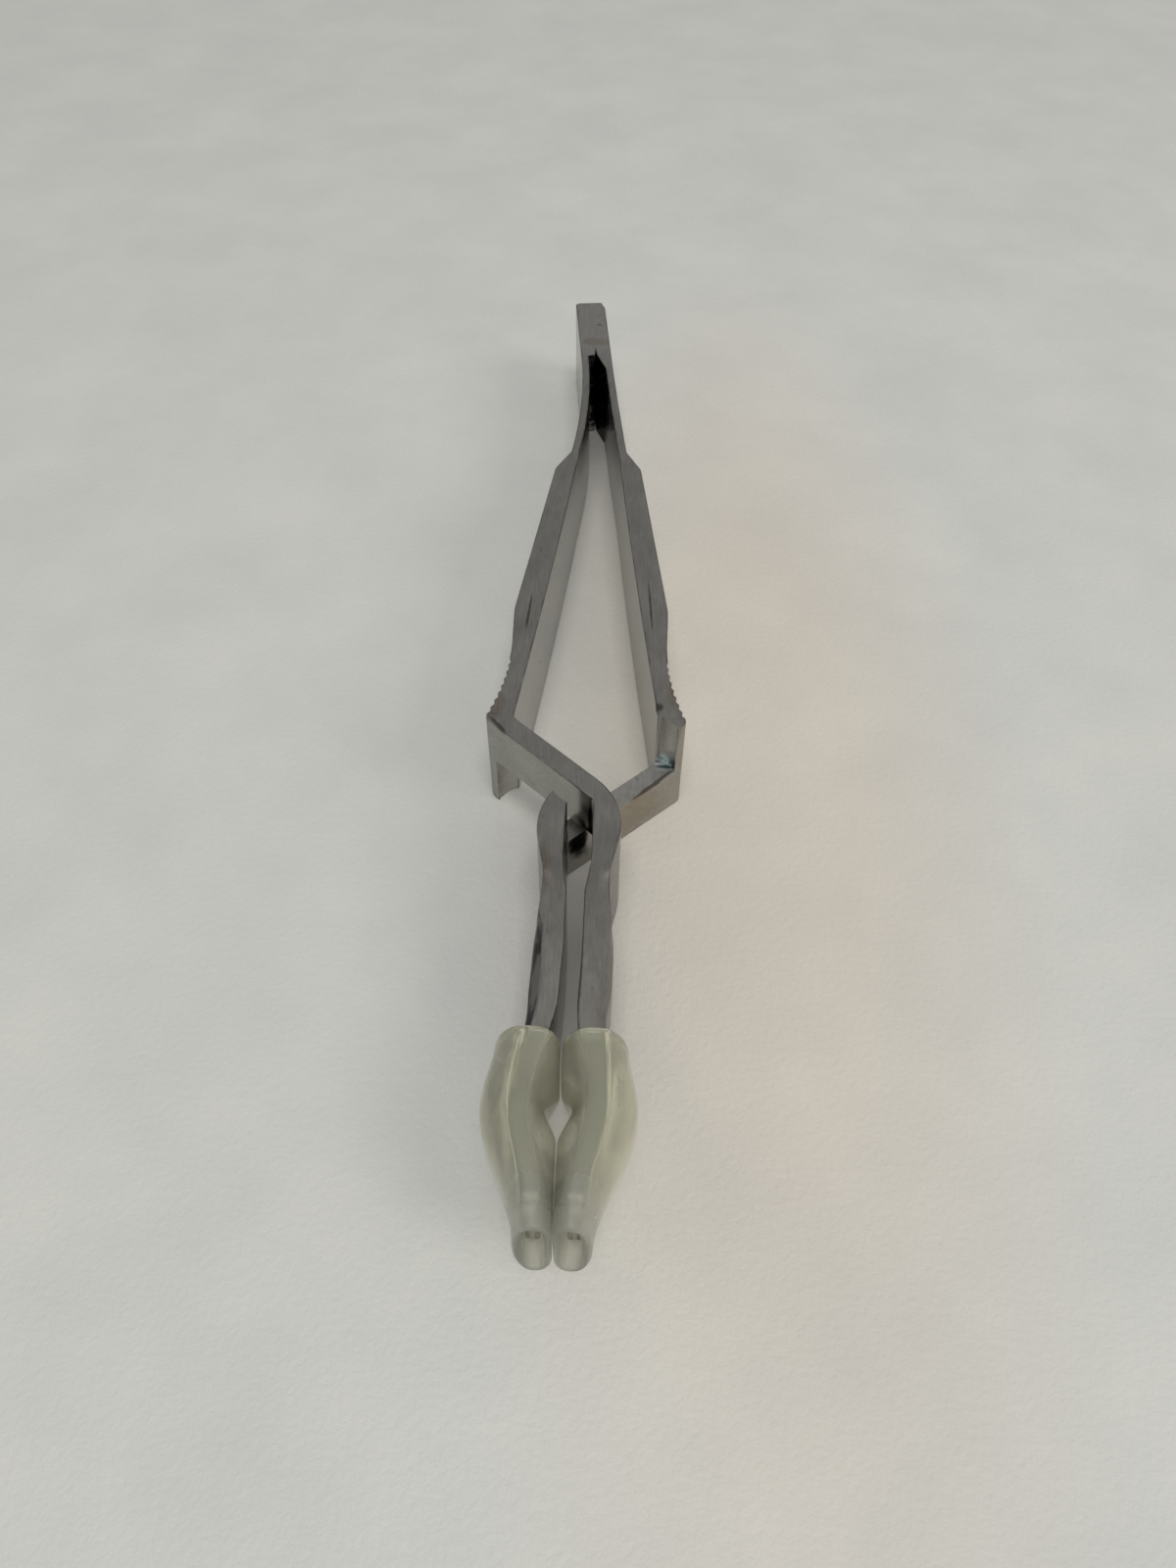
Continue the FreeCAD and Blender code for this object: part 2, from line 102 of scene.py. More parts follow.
# %% Driving dimensions of the serrations, the lap and the jaws
serration_count, serration_pitch = 8, 0.5
serration_depth, serration_start_y = 0.11, 4.25
lap_gap = 0.4
cutter_radius, cutter_travel = 1.5, 4.1
crossing_half_gap, crossing_end_y = 0.62, -4.6
jaw_half_gap, jaw_step_y = 0.39, -6.1
jaw_arm_thickness, jaw_arm_top_y = 1.06, -5.1
jaw_lean = math.radians(11.5)
bend_outer_radius, bend_inner_radius, jaw_arm_radius = 3.6, 0.4, 3.0
jaw_arm_set, jaw_set, jaw_set_start_y, jaw_set_end_y = 0.08, 0.37, -8.0, -16.0
swell_start_y, swell_y, swell_thickness, thinning_y = -5.6, -9.0, 1.32, -10.0
jaw_root_y, bow_y, tip_y = -11.0, -15.2, -19.45
bow_half_distance, bow_thickness = 1.55, 0.81
tip_half_distance, tip_thickness, tip_corner_radius = 0.81, 0.55, 0.12
taper_start_y, jaw_rim_height, jaw_tip_height, jaw_nose_radius = -5.0, 4.4, 3.6, 0.6
bevel_width, bevel_depth, small_bevel_width = 0.62, 0.9, 0.25
bevel_stations = [-15.5, -15.0, -12.6, -11.4, -10.0, -8.5, -8.1, -8.0]
bevel_shares = [0.0, 0.4, 0.55, 0.85, 1.0, 0.8, 0.65, 0.0]
end_bevel_across, end_bevel_along, end_corner_radius = 0.2, 0.7, 0.15
sleeve_rim_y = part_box("left_jaw_sleeve")[1].y / MM - shift_y
jaw_outer_reach = jaw_half_gap + jaw_arm_thickness
bow_out = bow_half_distance - jaw_half_gap - bow_thickness / 2
print("sleeve rim at", round(sleeve_rim_y, 3), "mm in the drawing")

# %% [markdown]
# ## Lines of the strip seen from above
# A strip could be drawn as one closed outline and pushed up, but then the cross-section,
# with its broken edges, tapers and bevels, would be hard to control. Here it is the surface
# between two rails: rail A follows the grip's inside, the strap's tail side and the jaw's
# outside, and rail B the grip's outside, the strap's jaw side and the jaw's inside. Both
# rails share one running number: 1 at the crotch, 2 at the leaf's end, 3 at the bump, 4 at
# the waist, 6 at the knee, 7 at the crossing, 8 at the jaw arm and 10 at the tip.

# %% Formulas shared by the rails
def ease(share):
    """Smooth step with level ends: half of one minus the cosine of the share of a half turn."""
    return (1 - np.cos(np.pi * np.clip(share, 0, 1))) / 2


def leaf_inner_x(y):
    """Leaf's inner face: a circle of the leaf's radius that starts level at the crotch."""
    drop = crotch_y - y
    return pad_thickness - leaf_thickness + leaf_radius - np.sqrt(leaf_radius**2 - drop**2)


def arm_inner_x(y):
    """Grip's inner face: a chord from leaf to knee, less a parabola as deep as the bow."""
    share = (y - knee_inner_y) / (leaf_end_y - knee_inner_y)
    chord = knee_inner_reach + (leaf_inner_x(leaf_end_y) - knee_inner_reach) * share
    return chord - arm_bow * 4 * share * (1 - share)


def set_over(x, y, lean):
    """Bends the tail sideways: a parabola along the leaf, then a straight tilted pad."""
    x, y = np.broadcast_arrays(np.asarray(x, float), np.asarray(y, float))
    sideways = lean * np.clip(y - leaf_end_y, 0, leaf_length) ** 2 / (2 * lean_radius)
    tilt = np.where(y > crotch_y, tail_lean * lean, 0)
    rise = np.maximum(y - crotch_y, 0)
    return np.stack([x * np.cos(tilt) + rise * np.sin(tilt) + sideways,
                     np.minimum(y, crotch_y) + rise * np.cos(tilt) - x * np.sin(tilt)], -1)


def jaw_plane_x(y, lean):
    """Plane between the jaws: set over a little at the jaw arm, eased to more at the jaw."""
    share = ease((jaw_set_start_y - y) / (jaw_set_start_y - jaw_set_end_y))
    return lean * (jaw_arm_set + (jaw_set - jaw_arm_set) * share)


def jaw_thickness(y):
    """Thickness of a jaw: swollen at the arm, eased down to the bow, then thinner by a square."""
    swell = ease((swell_start_y - y) / (swell_start_y - swell_y))
    thinning = ease((thinning_y - y) / (thinning_y - bow_y))
    back = np.clip((bow_y - y) / (bow_y - tip_y), 0, 1)
    return (jaw_arm_thickness + (swell_thickness - jaw_arm_thickness) * swell
            + (bow_thickness - swell_thickness) * thinning
            + (tip_thickness - bow_thickness) * back**2)


def jaw_half_distance(y):
    """Middle line of a jaw: half a thickness off the gap, eased out to the bow and in again."""
    out = ease((jaw_root_y - y) / (jaw_root_y - bow_y))
    back = ease((bow_y - y) / (bow_y - tip_y))
    upper = jaw_half_gap + jaw_thickness(np.maximum(y, bow_y)) / 2 + bow_out * out
    return upper + (tip_half_distance - bow_half_distance) * back


def half_height_at(y):
    """Half of the strip's height: full, then two straight tapers, then a round nose."""
    stations = [tip_y, sleeve_rim_y, taper_start_y]
    heights = [jaw_tip_height / 2, jaw_rim_height / 2, half_height]
    short = np.clip(jaw_nose_radius - (y - tip_y), 0, jaw_nose_radius)
    nose = jaw_nose_radius - np.sqrt(jaw_nose_radius**2 - short**2)
    return np.interp(y, stations, heights) - nose


print("jaw thickness at the bow", round(float(jaw_thickness(bow_y)), 2), "mm")


# %% Helpers that make a rail
def fillet(before, corner, after, radius, count=9):
    """Round corner: points at even angles on the circle that touches both straight sides."""
    one = (before - corner) / np.linalg.norm(before - corner)
    two = (after - corner) / np.linalg.norm(after - corner)
    half = math.acos(float(one @ two)) / 2
    centre = corner + (one + two) / np.linalg.norm(one + two) * radius / math.sin(half)
    reach = radius / math.tan(half)
    start, end = corner + one * reach - centre, corner + two * reach - centre
    angle = math.atan2(start[1], start[0])
    turn = math.atan2(start[0] * end[1] - start[1] * end[0], float(start @ end))
    angles = angle + turn * np.linspace(0, 1, count)
    return centre + radius * np.stack([np.cos(angles), np.sin(angles)], -1)


def block(first, last, points):
    """Running number for points of a rail: it grows evenly with the distance between them."""
    steps = np.linalg.norm(np.diff(points, axis=0), axis=1)
    along = np.concatenate([[0], np.cumsum(steps)])
    return first + (last - first) * along / along[-1], points


def join(blocks):
    """One rail from its blocks: the running numbers and the points, in order."""
    return (np.concatenate([numbers for numbers, _ in blocks]),
            np.concatenate([points for _, points in blocks]))


def on_rail(rail, number):
    """Point of a rail at a running number, straight between the rail's own points."""
    numbers, points = rail
    return np.stack([np.interp(number, numbers, points[:, axis]) for axis in (0, 1)], -1)


# %% [markdown]
# The grip's finger hollow is a circle that starts level at the waist and ends at the knee.
# Its serrations are V grooves in even steps along that circle, so they are added to rail B
# as a triangle wave: the depth falls evenly from each groove's root to nothing a quarter
# of a millimetre away. Real geometry is used because the grooves show on the top edge.

# %% Finger hollow with its serrations
waist = np.array([float(arm_inner_x(waist_y)) + waist_thickness, waist_y])
knee = np.array([knee_reach, knee_outer_y])
hollow_radius = ((waist[1] - knee[1])**2 + (knee[0] - waist[0])**2) / (2 * (knee[0] - waist[0]))
samples_per_groove = 8


def hollow_points(end_reach):
    """Circle from the waist to the knee, cut inwards by the triangle wave of the grooves."""
    full_turn = math.asin((waist[1] - knee[1]) / hollow_radius) - end_reach / hollow_radius
    count = int(full_turn * hollow_radius / serration_pitch * samples_per_groove)
    turn = np.linspace(0, full_turn, count)
    start_turn = math.asin((waist[1] - serration_start_y) / hollow_radius)
    steps = (start_turn - turn) * hollow_radius / serration_pitch
    nearest = np.clip(np.round(steps), 0, serration_count - 1)
    depth = serration_depth * np.clip(1 - 2 * np.abs(steps - nearest), 0, 1)
    radius = hollow_radius + depth
    centre_x = waist[0] + hollow_radius
    return np.stack([centre_x - radius * np.cos(turn), waist[1] - radius * np.sin(turn)], -1)


print("finger hollow radius", round(hollow_radius, 2), "mm")

# %% [markdown]
# At the crotch the braze ends in a fine gap, and from there a straight taper runs out to the
# leaf's inner face, short on the left strip and longer on the right. The right strip's tail
# end also has a ground bevel. Otherwise the strips are equal, so one function draws each
# rail, and lean says to which side the tail and the jaws are set over.

# %% The two rails
knee_half_angle = math.radians(55.7)
grip_end_length = 0.45
seam_opening, seam_opening_length = 0.06, 1.0
long_taper, short_taper = 1.6, 0.12
leaf_trim, leaf_end_trim = 0.05, 0.25
seam_points, leaf_points, grip_points, jaw_points, bend_points = 8, 24, 30, 48, 17


def crossing_corner(lean):
    """Where the strap's jaw-side face meets the inner face of the jaw arm."""
    x = float(jaw_plane_x(0, lean)) - crossing_half_gap
    return np.array([x, x * strap_slope - strap_offset])


def bend_corner(lean):
    """Where the strap's tail-side face meets the outer face of the leaning jaw arm."""
    tilt = math.tan(jaw_lean)
    reach = jaw_outer_reach - float(jaw_plane_x(jaw_arm_top_y, lean))
    y = (strap_offset - strap_slope * (reach - tilt * jaw_arm_top_y)) / (1 + strap_slope * tilt)
    return np.array([-(strap_offset - y) / strap_slope, y])


def jaw_side(side, lean, start_y):
    """One face of a jaw: its middle line, half a thickness to one side, rounded at the tip."""
    y = start_y + (tip_y - start_y) * np.sin(np.linspace(0, np.pi / 2, jaw_points))
    short = np.clip(tip_corner_radius - (y - tip_y), 0, tip_corner_radius)
    corner = tip_corner_radius - np.sqrt(tip_corner_radius**2 - short**2)
    half = jaw_thickness(y) / 2 - corner
    return np.stack([jaw_plane_x(y, lean) - jaw_half_distance(y) - side * half, y], -1)


def rail_b(lean, bevelled):
    """Grip's outside, strap's jaw side and jaw's inside, from the tail's end to the tip."""
    pad_end = crotch_y + pad_length
    end_cut = end_bevel_across if bevelled else end_corner_radius
    end_run = end_bevel_along if bevelled else end_corner_radius
    pad = set_over([pad_thickness - end_cut, pad_thickness, pad_thickness],
                   [pad_end, pad_end - end_run, crotch_y], lean)
    leaf_y = np.linspace(crotch_y - leaf_trim, leaf_end_y + leaf_end_trim, leaf_points)
    leaf = set_over(leaf_inner_x(leaf_y) + leaf_thickness, leaf_y, lean)
    leaf_end = np.array([float(leaf_inner_x(leaf_end_y)) + leaf_thickness, leaf_end_y])
    shoulder = np.array([float(arm_inner_x(shoulder_y)) + shoulder_thickness, shoulder_y])
    bump = np.array([float(arm_inner_x(bump_y)) + bump_thickness, bump_y])
    corner = crossing_corner(lean)
    crossing_end = np.array([corner[0], crossing_end_y])
    knee_start = knee_outer_radius / math.tan(knee_half_angle)
    hollow = hollow_points(knee_start)
    before_knee = hollow_points(2 * knee_start)[-1]
    return join([
        block(0, 1, pad), block(1.005, 1.97, leaf),
        block(1.98, 2.1, fillet(leaf[-1], leaf_end, shoulder, shoulder_radius)),
        block(2.5, 2.7, fillet(leaf_end, shoulder, bump, shoulder_radius)),
        block(3.0, 3.3, fillet(shoulder, bump, waist, bump_radius)),
        block(4.0, 5.8, hollow),
        block(5.81, 6.2, fillet(before_knee, knee, corner, knee_outer_radius)),
        block(7.0, 7.3, fillet(knee, corner, crossing_end, bend_inner_radius)),
        block(8.0, 10.0, np.vstack([crossing_end, jaw_side(-1, lean, jaw_step_y)]))])


def rail_a(lean, bevelled):
    """Grip's inside, strap's tail side and jaw's outside, with the seam at the tail."""
    pad_y = np.linspace(crotch_y + pad_length, crotch_y, seam_points)
    opened = seam_opening * np.clip(1 - (pad_y - crotch_y) / seam_opening_length, 0, 1)
    seam = set_over(opened, pad_y, lean)
    taper = long_taper if bevelled else short_taper
    # Rail B passes the end of the taper at about this number.
    leaf_first = 1 + 0.005 + taper / leaf_length / 1.1
    leaf_y = np.linspace(crotch_y - taper, leaf_end_y, leaf_points)
    leaf = set_over(leaf_inner_x(leaf_y), leaf_y, lean)
    inner_knee = np.array([knee_inner_reach, knee_inner_y])
    bend = bend_corner(lean)
    jaw_top = np.array([float(jaw_plane_x(jaw_arm_top_y, lean)) - jaw_outer_reach, jaw_arm_top_y])
    outer = jaw_side(1, lean, jaw_step_y)
    grip_end_y = knee_inner_y + grip_end_length
    grip_numbers = np.linspace(2, 5.55, grip_points)
    grip_y = np.interp(grip_numbers, [2, 2.6, 3.15, 4, 5.55],
                       [leaf_end_y, shoulder_y, bump_y, waist_y, grip_end_y])
    grip = np.stack([arm_inner_x(grip_y), grip_y], -1)
    return join([
        block(0, 1, seam), block(leaf_first, 1.99, leaf), (grip_numbers, grip),
        block(5.7, 6.1, fillet(grip[-1], inner_knee, bend, knee_inner_radius)),
        block(6.8, 7.6, fillet(inner_knee, bend, jaw_top, bend_outer_radius, bend_points)),
        block(7.8, 8.3, fillet(bend, jaw_top, outer[0], jaw_arm_radius)),
        block(8.4, 10.0, outer)])


rails = {side: (rail_a(lean, side == "right"), rail_b(lean, side == "right"))
         for side, lean in (("right", -1), ("left", 1))}
for side, (a, b) in rails.items():
    print(side, "rails hold", len(a[0]), "and", len(b[0]), "points")

# %% [markdown]
# ## Cross-section and half lap
# The section is a rectangle with broken edges, held as columns: each column knows which rail
# it starts from, how far in it stands, and how far below the edge, both in sizes of the
# broken edge. The flat faces start at 1.3 such sizes, which keeps the edge's soft shading off
# them. Where a bevel is ground, the same columns stand on a straight line.
# Where the straps cross, half of the strip's height was milled away by a round cutter that
# ran along the strap from the crossing to the knee. So a strip is built as two layers that
# meet in the plane of the pocket's floor: a whole one, and one that stops at the cutter's
# round ends and so comes in two shells.

# %% Columns of the cross-section
corner_steps = 4
width_steps = 6
face_start = 1.3
widest_step = 0.49


def both_ends(first, corner, last):
    """Values of the columns at rail A, mirrored at rail B, with nothing in between."""
    end = np.concatenate([[first], corner, [last]])
    return np.concatenate([end, np.zeros(width_steps), end[::-1]])


corner_turn = np.linspace(0, np.pi / 2, corner_steps)
straight = corner_turn / corner_turn[-1]
inset = both_ends(0, 1 - np.cos(corner_turn), face_start)
drop = both_ends(face_start, 1 - np.sin(corner_turn), 0)
flat_inset = both_ends(0, straight, face_start)
flat_drop = both_ends(face_start, 1 - straight, 0)
across = np.concatenate([np.zeros(corner_steps + 2), np.linspace(0, 1, width_steps + 2)[1:-1],
                         np.ones(corner_steps + 2)])
column_count = len(across)
toward = np.where(across < 0.5, 1, -1)
edge_columns = both_ends(0, np.ones(corner_steps), 0)
facet_columns = both_ends(0, np.pad(np.ones(corner_steps - 2), 1), 0)


def column_shares(step_in, width):
    """Share of the way across: corner columns by their own step, the rest evenly between."""
    step = np.minimum(step_in / width, widest_step)
    first, last = corner_steps + 1, column_count - corner_steps - 2
    margin_a, margin_b = step[:, first:first + 1], step[:, last:last + 1]
    middle = margin_a + (1 - margin_a - margin_b) * across
    return np.where((across > 0) & (across < 1), middle, across + step * toward)


print("columns in half a ring:", column_count)


# %% Layers of a strip
# Pockets are searched for in thousandths, and an edge grown by the onset is a flat bevel.
search_numbers = np.linspace(5, 8.5, 3501)
bevel_onset = 0.15


def cutter_distance(x, y):
    """Distance in plan from the line that the cutter's centre ran along."""
    along = np.clip(x * math.cos(strap_angle) + y * math.sin(strap_angle), 0, cutter_travel)
    return np.hypot(x - along * math.cos(strap_angle), y - along * math.sin(strap_angle))


def pocket_ends(a, b):
    """Running numbers, for each column, between which the cutter took the metal away."""
    here = on_rail(a, search_numbers)[:, None, :]
    there = on_rail(b, search_numbers)[:, None, :]
    width = np.linalg.norm(there - here, axis=-1)
    share = column_shares(inset[None, :] * edge_break, width)
    place = here + (there - here) * share[..., None]
    cut = cutter_distance(place[..., 0], place[..., 1]) < cutter_radius
    return search_numbers[cut.argmax(0)], search_numbers[::-1][cut[::-1].argmax(0)]


def corner_sizes(y, number, top):
    """Broken edge on rail A's side: none at the brazed seam, the ground bevel at the jaw arm."""
    share = np.interp(y, bevel_stations, bevel_shares)
    width = (bevel_width if top else small_bevel_width) * share
    broken_edge = np.where(number < 1, 0, edge_break)
    return np.maximum(width, broken_edge), np.maximum(bevel_depth * share, broken_edge)


def layer(a, b, numbers, starts, ends, low, high, broken):
    """Closed shell between rails A and B: rows along the strip, a ring of columns in each row.

    Starts and ends hold each column's first and last running number, low and high give the
    heights of its two faces, and broken says of each face, -1 or 1, if its edges are broken.
    """
    number = np.clip(numbers[:, None], starts[None, :], ends[None, :])
    here, there = on_rail(a, number), on_rail(b, number)
    width = np.linalg.norm(there - here, axis=-1)
    halves = []
    for sign in (-1, 1):
        middle_y = (here[..., 1] + there[..., 1]) / 2
        in_a, down_a = corner_sizes(middle_y, number, sign > 0)
        is_a = across[None, :] < 0.5
        size_in = np.where(is_a, in_a, edge_break) * broken[sign]
        size_down = np.where(is_a, down_a, edge_break) * broken[sign]
        bevel = np.where(is_a, np.clip((size_in - edge_break) / bevel_onset, 0, 1), 0)
        step_in = size_in * (inset * (1 - bevel) + flat_inset * bevel)
        step_down = size_down * (drop * (1 - bevel) + flat_drop * bevel)
        share = column_shares(step_in, width)
        plan = here + (there - here) * share[..., None]
        level = (high if sign > 0 else low)(middle_y)
        whole_edge = np.where(is_a & (number < 1), 0, edge_columns * broken[sign])
        edge = whole_edge * (1 - bevel * facet_columns)
        halves.append(np.dstack([plan, level - sign * step_down, edge]))
    return np.concatenate([halves[0], halves[1][:, ::-1]], axis=1)


def shell_faces(rows, columns):
    """Quads between neighbouring rows, and quads that bridge each end ring top to bottom."""
    row = np.arange(rows - 1)[:, None]
    column = np.arange(columns)[None, :]
    after = (column + 1) % columns
    sides = np.stack([row * columns + column, row * columns + after,
                      (row + 1) * columns + after, (row + 1) * columns + column], -1)
    half = np.arange(columns // 2 - 1)
    cap = np.stack([half, columns - 1 - half, columns - 2 - half, half + 1], -1)
    far_cap = cap[:, ::-1] + (rows - 1) * columns
    return np.vstack([sides.reshape(-1, 4), cap, far_cap])


# %% Whole strips
tip_number = 10.0
merge_distance = 2e-7


def strip_shells(side):
    """Points and quads of one strip in the drawing: the whole layer and the two cut ones."""
    a, b = rails[side]
    numbers = np.unique(np.round(np.concatenate([a[0], b[0]]), 4))
    first, last = pocket_ends(a, b)
    start, end = np.zeros(column_count), np.full(column_count, tip_number)
    parting = -lap_gap / 2

    def bottom(y):
        return -half_height_at(y)

    def middle(y):
        return np.full_like(y, parting)

    whole = {-1: 1, 1: 0}
    cut = {-1: 0, 1: 1}
    before = np.append(numbers[numbers < first.max()], first.max())
    beyond = np.insert(numbers[numbers > last.min()], 0, last.min())
    shells = [layer(a, b, numbers, start, end, bottom, middle, whole),
              layer(a, b, before, start, first, middle, half_height_at, cut),
              layer(a, b, beyond, last, end, middle, half_height_at, cut)]
    return [(shell.reshape(-1, 4), shell_faces(*shell.shape[:2])) for shell in shells]


def add_object(name, data):
    """Object at the origin, linked to the scene."""
    thing = bpy.data.objects.new(name, data)
    bpy.context.scene.collection.objects.link(thing)
    return thing


def mesh_piece(name, shells, sharp_angle, mask_name):
    """Object from closed shells in millimetres, each one cleaned by itself.

    The fourth column of the points becomes an attribute that its material uses as a mask.
    """
    work = bmesh.new()
    open_edges = 0
    for points, faces in shells:
        placed = (points[:, :3] + np.array([0, shift_y, half_height])) * MM
        shell_mesh = bpy.data.meshes.new(name)
        shell_mesh.from_pydata(placed, [], faces)
        mask = shell_mesh.attributes.new(mask_name, "FLOAT", "POINT")
        mask.data.foreach_set("value", points[:, 3].astype(np.float32))
        shell = bmesh.new()
        shell.from_mesh(shell_mesh)
        bmesh.ops.remove_doubles(shell, verts=shell.verts, dist=merge_distance)
        bmesh.ops.dissolve_degenerate(shell, edges=shell.edges, dist=merge_distance)
        bmesh.ops.recalc_face_normals(shell, faces=shell.faces)
        open_edges += sum(1 for edge in shell.edges if len(edge.link_faces) != 2)
        shell.to_mesh(shell_mesh)
        work.from_mesh(shell_mesh)
        shell.free()
        bpy.data.meshes.remove(shell_mesh)
    mesh = bpy.data.meshes.new(name)
    work.to_mesh(mesh)
    work.free()
    mesh.shade_smooth()
    mesh.set_sharp_from_angle(angle=math.radians(sharp_angle))
    print(name, len(mesh.polygons), "faces,", open_edges, "edges not shared by two")
    return add_object(name, mesh)


strips = {}
for side in ("right", "left"):
    shells = strip_shells(side)
    if side == "left":
        shells = [(points * [-1, 1, -1, 1], faces) for points, faces in shells]
    strips[side] = mesh_piece(side + "_strip", shells, sharp_angle=38, mask_name="edge")

# %% [markdown]
# ## Soft sleeves
# Each sleeve is a moulded tube of translucent silicone, oval across, slimmer at the tip and
# hollowed where it faces its neighbour. Its bore is taller than the jaw inside it, so light
# shows round the steel. The surface runs down the outside, round the open end's lip, back
# up the bore and round the rim's lip, so it closes on itself without caps.

# %% Sleeve sizes and surface
closed_gap, sleeve_press = 0.06, 0.15
sleeve_end_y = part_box("left_jaw_sleeve")[0].y / MM - shift_y
sleeve_widest_y = -15.1
sleeve_rim_reach, sleeve_widest_reach, sleeve_end_reach = 2.75, 3.13, 1.5
sleeve_hollow, sleeve_hollow_half_length = 0.57, 1.7
sleeve_rim_height, sleeve_end_height = 5.7, 4.6
sleeve_top_wall, sleeve_end_wall = 0.36, 0.38
bore_rim_clearance, bore_end_clearance, bore_end_shift = 0.22, 0.12, 0.12
lip_radius = 0.14
rim_power, end_power, bore_power = 2.45, 2.15, 4.0
press_softness = 0.03
wall_rows, lip_rows, ring_columns = 64, 9, 88


def oval(power):
    """Unit superellipse: cosine and sine, each raised to two over the power, with its sign."""
    turn = np.linspace(0, 2 * np.pi, ring_columns, endpoint=False)
    cosine, sine = np.cos(turn), np.sin(turn)
    return (np.sign(cosine) * np.abs(cosine) ** (2 / power),
            np.sign(sine) * np.abs(sine) ** (2 / power))


def ring_rows(centre, half_width, half_tall, power, y):
    """One oval for each row: the unit oval of the row's power, stretched and moved."""
    unit_x, unit_z = oval(np.broadcast_to(power, y.shape)[:, None])
    return np.stack([centre[:, None] + half_width[:, None] * unit_x,
                     np.broadcast_to(y[:, None], unit_x.shape), half_tall[:, None] * unit_z], -1)


def press_flat(x, limit):
    """Soft wall held at its neighbour: what would pass the limit is laid flat just before it."""
    room = limit - x
    return limit - (room + np.sqrt(room**2 + press_softness**2)) / 2


def sleeve_surface(lean):
    """Rows of ovals: each row has its station and its share between outside and bore."""
    length = sleeve_rim_y - sleeve_end_y
    body = np.linspace(lip_radius, length - lip_radius, wall_rows)
    turn = np.linspace(0, np.pi, lip_rows + 2)[1:-1]
    along = np.concatenate([body, length - lip_radius + lip_radius * np.sin(turn), body[::-1],
                            lip_radius - lip_radius * np.sin(turn)])
    inner = np.concatenate([np.zeros(wall_rows), (1 - np.cos(turn)) / 2, np.ones(wall_rows),
                            (1 + np.cos(turn)) / 2])
    share = along / length
    y = sleeve_rim_y - along
    jaw_y = np.maximum(y, tip_y)
    widening = ease((sleeve_rim_y - y) / (sleeve_rim_y - sleeve_widest_y))
    narrowing = ease((sleeve_widest_y - y) / (sleeve_widest_y - sleeve_end_y))
    outer = (sleeve_rim_reach + (sleeve_widest_reach - sleeve_rim_reach) * widening
             + (sleeve_end_reach - sleeve_widest_reach) * narrowing)
    hollow = sleeve_hollow * (1 - ease(np.abs(y - bow_y) / sleeve_hollow_half_length))
    near = closed_gap / 2 - sleeve_press + hollow
    tall = (sleeve_rim_height + (sleeve_end_height - sleeve_rim_height) * share) / 2
    wall = sleeve_top_wall + (sleeve_end_wall - sleeve_top_wall) * share
    room = bore_rim_clearance + (bore_end_clearance - bore_rim_clearance) * share
    bore_shift = bore_end_shift * ease((jaw_y - y) / (tip_y - sleeve_end_y))
    plane = jaw_set * lean
    outside = ring_rows(plane - (near + outer) / 2, (outer - near) / 2, tall,
                        rim_power + (end_power - rim_power) * share, y)
    outside[..., 0] = press_flat(outside[..., 0], plane - closed_gap / 2)
    bore = ring_rows(jaw_plane_x(y, lean) - jaw_half_distance(jaw_y) + bore_shift,
                     jaw_thickness(jaw_y) / 2 + room, tall - wall, bore_power, y)
    surface = outside + (bore - outside) * inner[:, None, None]
    rows, columns = surface.shape[:2]
    surface = np.dstack([surface, np.broadcast_to(inner[:, None], (rows, columns))])
    row, column = np.arange(rows)[:, None], np.arange(columns)[None, :]
    next_row, next_column = (row + 1) % rows, (column + 1) % columns
    faces = np.stack([row * columns + column, next_row * columns + column,
                      next_row * columns + next_column, row * columns + next_column], -1)
    return surface.reshape(-1, 4), faces.reshape(-1, 4)


sleeves = {}
for side, lean in (("left", -1), ("right", 1)):
    points, faces = sleeve_surface(lean)
    if side == "right":
        points = points * [-1, 1, -1, 1]
    sleeves[side] = mesh_piece(side + "_sleeve", [(points, faces)], sharp_angle=60,
                               mask_name="bore")

# %% [markdown]
# ## Which bodies the sleeves follow
# The leaf springs are what bends. Each strip stays where it is drawn, and the CAD tail and arm
# that it stands for are hidden. A sleeve sits on the jaw of the strip that crosses over from
# the other side.

# %% Tie the sleeves to the bodies
for side, sleeve_side in (("right", "left"), ("left", "right")):
    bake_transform(strips[side])
    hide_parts(side + "_arm", "brazed_tail")
    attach(sleeves[sleeve_side], side + "_arm")
    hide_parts(sleeve_side + "_jaw_sleeve")

# %% [markdown]
# ## Effects that several finishes share
# Real surfaces are never one even colour. Cloudy mottling is needed on the steel, the
# silicone and the bench alike, and small soft marks in many places on the steel, so each is
# a node group with its own inputs. All patterns work in millimetres on Object coordinates,
# so they stay on the piece.

# %% Node helpers
def new_material(name):
    """Node material: its tree and its Principled shader."""
    material = bpy.data.materials.new(name)
    material.use_nodes = True
    return material, material.node_tree, material.node_tree.nodes["Principled BSDF"]


def add_node(tree, kind, inputs=None, **settings):
    """Node with its settings; an input is given a value, or another node's output to link."""
    node = tree.nodes.new(kind)
    for name, value in settings.items():
        setattr(node, name, value)
    for name, value in (inputs or {}).items():
        if isinstance(value, bpy.types.NodeSocket):
            tree.links.new(value, node.inputs[name])
        else:
            node.inputs[name].default_value = value
    return node


def calculate(tree, operation, first, second=0.5, third=0.5):
    """Output of a Math node."""
    node = add_node(tree, "ShaderNodeMath", {0: first, 1: second, 2: third}, operation=operation)
    return node.outputs[0]


def calculate_vector(tree, operation, first, second=(0, 0, 0)):
    """Output of a Vector Math node: a number for a length, and else a vector."""
    node = add_node(tree, "ShaderNodeVectorMath", {0: first, 1: second}, operation=operation)
    return node.outputs["Value" if operation == "LENGTH" else "Vector"]


